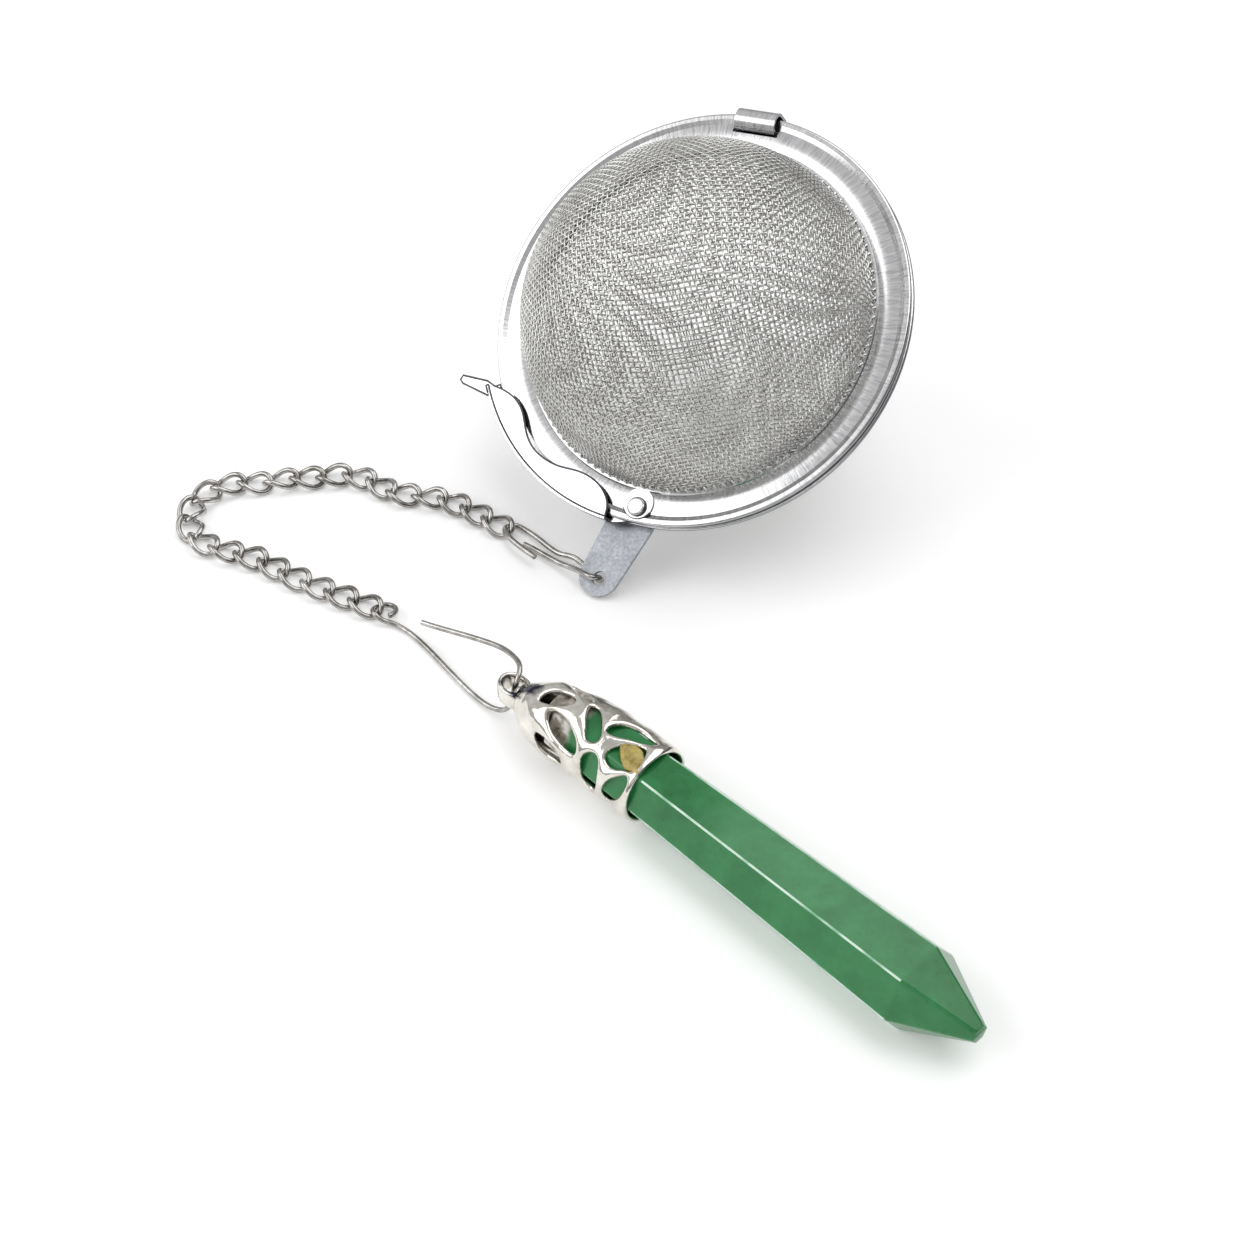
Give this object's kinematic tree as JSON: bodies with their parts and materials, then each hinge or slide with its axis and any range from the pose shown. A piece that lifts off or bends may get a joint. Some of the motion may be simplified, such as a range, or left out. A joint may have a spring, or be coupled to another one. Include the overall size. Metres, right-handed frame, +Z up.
{
  "type": "tea infuser",
  "caption": "Mesh ball tea infuser: two hinged wire-mesh bowls in steel rings with a swing latch, a curb chain, an open wire hook and a capped hexagonal crystal charm",
  "frame": {"origin": "the point where the rear mesh bowl rests on the table", "axes": "+Z up from the table top; +X to the right and +Y away from a person looking at the object along its chain side; the ball's flange leans back so its hinge is high and its chain tab touches the table"},
  "size_m": [0.0872, 0.1116, 0.0416],
  "materials": {
    "ring_steel": "bright stamped stainless, radial brush marks",
    "mesh_steel": "woven stainless wire cloth",
    "tab_steel": "dull grainy stamped stainless",
    "lever_steel": "polished stainless",
    "chain_steel": "bright drawn steel wire",
    "cap_silver": "polished silver-coloured casting",
    "crystal": "polished green aventurine, slightly translucent",
    "adhesive": "clear set resin"
  },
  "bodies": {
    "bowl": {"back_ring": "ring_steel", "back_mesh": "mesh_steel", "hinge_clip": "ring_steel", "chain_tab": "tab_steel", "tab_welds": "tab_steel"},
    "lid": {"front_ring": "ring_steel", "front_mesh": "mesh_steel", "latch_rivet": "lever_steel"},
    "latch": {"latch_lever": "lever_steel", "latch_flap": "lever_steel", "latch_lip": "lever_steel", "latch_wall_1": "lever_steel", "latch_wall_2": "lever_steel", "latch_wall_3": "lever_steel", "latch_wall_4": "lever_steel", "latch_wall_5": "lever_steel", "latch_skirt_1": "lever_steel", "latch_skirt_2": "lever_steel"},
    "clasp": {"clasp": "chain_steel"},
    "chain_link_01": {"chain_link_01": "chain_steel"},
    "chain_link_02": {"chain_link_02": "chain_steel"},
    "chain_link_03": {"chain_link_03": "chain_steel"},
    "chain_link_04": {"chain_link_04": "chain_steel"},
    "chain_link_05": {"chain_link_05": "chain_steel"},
    "chain_link_06": {"chain_link_06": "chain_steel"},
    "chain_link_07": {"chain_link_07": "chain_steel"},
    "chain_link_08": {"chain_link_08": "chain_steel"},
    "chain_link_09": {"chain_link_09": "chain_steel"},
    "chain_link_10": {"chain_link_10": "chain_steel"},
    "chain_link_11": {"chain_link_11": "chain_steel"},
    "chain_link_12": {"chain_link_12": "chain_steel"},
    "chain_link_13": {"chain_link_13": "chain_steel"},
    "chain_link_14": {"chain_link_14": "chain_steel"},
    "chain_link_15": {"chain_link_15": "chain_steel"},
    "chain_link_16": {"chain_link_16": "chain_steel"},
    "chain_link_17": {"chain_link_17": "chain_steel"},
    "chain_link_18": {"chain_link_18": "chain_steel"},
    "chain_link_19": {"chain_link_19": "chain_steel"},
    "chain_link_20": {"chain_link_20": "chain_steel"},
    "chain_link_21": {"chain_link_21": "chain_steel"},
    "chain_link_22": {"chain_link_22": "chain_steel"},
    "chain_link_23": {"chain_link_23": "chain_steel"},
    "pendant_hook": {"pendant_hook": "chain_steel"},
    "pendant": {"pendant_cap": "cap_silver", "crystal": "crystal", "cap_adhesive": "adhesive"}
  },
  "joints": [
    {"name": "ball_lid_hinge", "type": "hinge", "parent": "bowl", "child": "lid", "pos_m": [0.00678, 0.01846, 0.03492], "axis": [-0.889, 0.4353, -0.1421], "range_deg": [0, 150]},
    {"name": "ball_latch_pivot", "type": "hinge", "parent": "lid", "child": "latch", "pos_m": [-0.00703, -0.01795, 0.0079], "axis": [-0.3546, -0.4581, 0.8151], "range_deg": [-2.5, 26]},
    {"name": "chain_00_clasp", "type": "hinge", "parent": "bowl", "child": "clasp", "pos_m": [-0.01152, -0.02281, 0.00154], "axis": [0.2897, 0.7751, 0.5616], "range_deg": [-1, 4]},
    {"name": "chain_01_swing", "type": "hinge", "parent": "clasp", "child": "chain_link_01", "pos_m": [-0.02222, -0.01396, 0.00086], "axis": [0, 0, 1], "range_deg": [-5, 5]},
    {"name": "chain_02_lift", "type": "hinge", "parent": "chain_link_01", "child": "chain_link_02", "pos_m": [-0.02476, -0.01211, 0.00086], "axis": [0.5878, 0.809, 0], "range_deg": [-10, 10]},
    {"name": "chain_03_swing", "type": "hinge", "parent": "chain_link_02", "child": "chain_link_03", "pos_m": [-0.0273, -0.01027, 0.00086], "axis": [0, 0, 1], "range_deg": [-18, 8]},
    {"name": "chain_04_lift", "type": "hinge", "parent": "chain_link_03", "child": "chain_link_04", "pos_m": [-0.03002, -0.0087, 0.00086], "axis": [-0.309, -0.9511, 0], "range_deg": [-10, 10]},
    {"name": "chain_05_swing", "type": "hinge", "parent": "chain_link_04", "child": "chain_link_05", "pos_m": [-0.03314, -0.00837, 0.00086], "axis": [0, 0, -1], "range_deg": [-8, 18]},
    {"name": "chain_06_lift", "type": "hinge", "parent": "chain_link_05", "child": "chain_link_06", "pos_m": [-0.03618, -0.00756, 0.00086], "axis": [0.4617, 0.887, 0], "range_deg": [-10, 10]},
    {"name": "chain_07_swing", "type": "hinge", "parent": "chain_link_06", "child": "chain_link_07", "pos_m": [-0.03858, -0.00554, 0.00086], "axis": [0, 0, 1], "range_deg": [-18, 8]},
    {"name": "chain_08_lift", "type": "hinge", "parent": "chain_link_07", "child": "chain_link_08", "pos_m": [-0.04153, -0.00447, 0.00086], "axis": [-0.0872, -0.9962, 0], "range_deg": [-10, 10]},
    {"name": "chain_09_swing", "type": "hinge", "parent": "chain_link_08", "child": "chain_link_09", "pos_m": [-0.04462, -0.00501, 0.00086], "axis": [0, 0, -1], "range_deg": [-8, 18]},
    {"name": "chain_10_lift", "type": "hinge", "parent": "chain_link_09", "child": "chain_link_10", "pos_m": [-0.04776, -0.00512, 0.00086], "axis": [-0.1564, 0.9877, 0], "range_deg": [-10, 10]},
    {"name": "chain_11_swing", "type": "hinge", "parent": "chain_link_10", "child": "chain_link_11", "pos_m": [-0.05078, -0.00599, 0.00086], "axis": [0, 0, 1], "range_deg": [-18, 8]},
    {"name": "chain_12_lift", "type": "hinge", "parent": "chain_link_11", "child": "chain_link_12", "pos_m": [-0.05392, -0.00588, 0.00086], "axis": [0.1305, -0.9914, 0], "range_deg": [-10, 10]},
    {"name": "chain_13_swing", "type": "hinge", "parent": "chain_link_12", "child": "chain_link_13", "pos_m": [-0.05692, -0.00679, 0.00086], "axis": [0, 0, -1], "range_deg": [-8, 18]},
    {"name": "chain_14_lift", "type": "hinge", "parent": "chain_link_13", "child": "chain_link_14", "pos_m": [-0.05902, -0.00913, 0.00086], "axis": [-0.8949, 0.4462, 0], "range_deg": [-10, 10]},
    {"name": "chain_15_swing", "type": "hinge", "parent": "chain_link_14", "child": "chain_link_15", "pos_m": [-0.05962, -0.01221, 0.00086], "axis": [0, 0, 1], "range_deg": [-18, 8]},
    {"name": "chain_16_lift", "type": "hinge", "parent": "chain_link_15", "child": "chain_link_16", "pos_m": [-0.05855, -0.01516, 0.00086], "axis": [0.8141, 0.5807, 0], "range_deg": [-10, 10]},
    {"name": "chain_17_swing", "type": "hinge", "parent": "chain_link_16", "child": "chain_link_17", "pos_m": [-0.05611, -0.01714, 0.00086], "axis": [0, 0, -1], "range_deg": [-8, 18]},
    {"name": "chain_18_lift", "type": "hinge", "parent": "chain_link_17", "child": "chain_link_18", "pos_m": [-0.05309, -0.018, 0.00086], "axis": [-0.3256, -0.9455, 0], "range_deg": [-10, 10]},
    {"name": "chain_19_swing", "type": "hinge", "parent": "chain_link_18", "child": "chain_link_19", "pos_m": [-0.05018, -0.01918, 0.00086], "axis": [0, 0, 1], "range_deg": [-18, 8]},
    {"name": "chain_20_lift", "type": "hinge", "parent": "chain_link_19", "child": "chain_link_20", "pos_m": [-0.04764, -0.02102, 0.00086], "axis": [0.5664, 0.8241, 0], "range_deg": [-10, 10]},
    {"name": "chain_21_swing", "type": "hinge", "parent": "chain_link_20", "child": "chain_link_21", "pos_m": [-0.045, -0.02273, 0.00086], "axis": [0, 0, -1], "range_deg": [-8, 18]},
    {"name": "chain_22_lift", "type": "hinge", "parent": "chain_link_21", "child": "chain_link_22", "pos_m": [-0.04221, -0.02416, 0.00086], "axis": [-0.454, -0.891, 0], "range_deg": [-10, 10]},
    {"name": "chain_23_swing", "type": "hinge", "parent": "chain_link_22", "child": "chain_link_23", "pos_m": [-0.03941, -0.02559, 0.00086], "axis": [0, 0, 1], "range_deg": [-18, 8]},
    {"name": "chain_24_hook_swing", "type": "hinge", "parent": "chain_link_23", "child": "pendant_hook", "pos_m": [-0.03659, -0.02696, 0.00086], "axis": [0, 0, 1], "range_deg": [-8, 8]},
    {"name": "bail_swing", "type": "hinge", "parent": "pendant_hook", "child": "pendant", "pos_m": [-0.02065, -0.04305, 0.00445], "axis": [0, 0, 1], "range_deg": [-15, 15]}
  ]
}
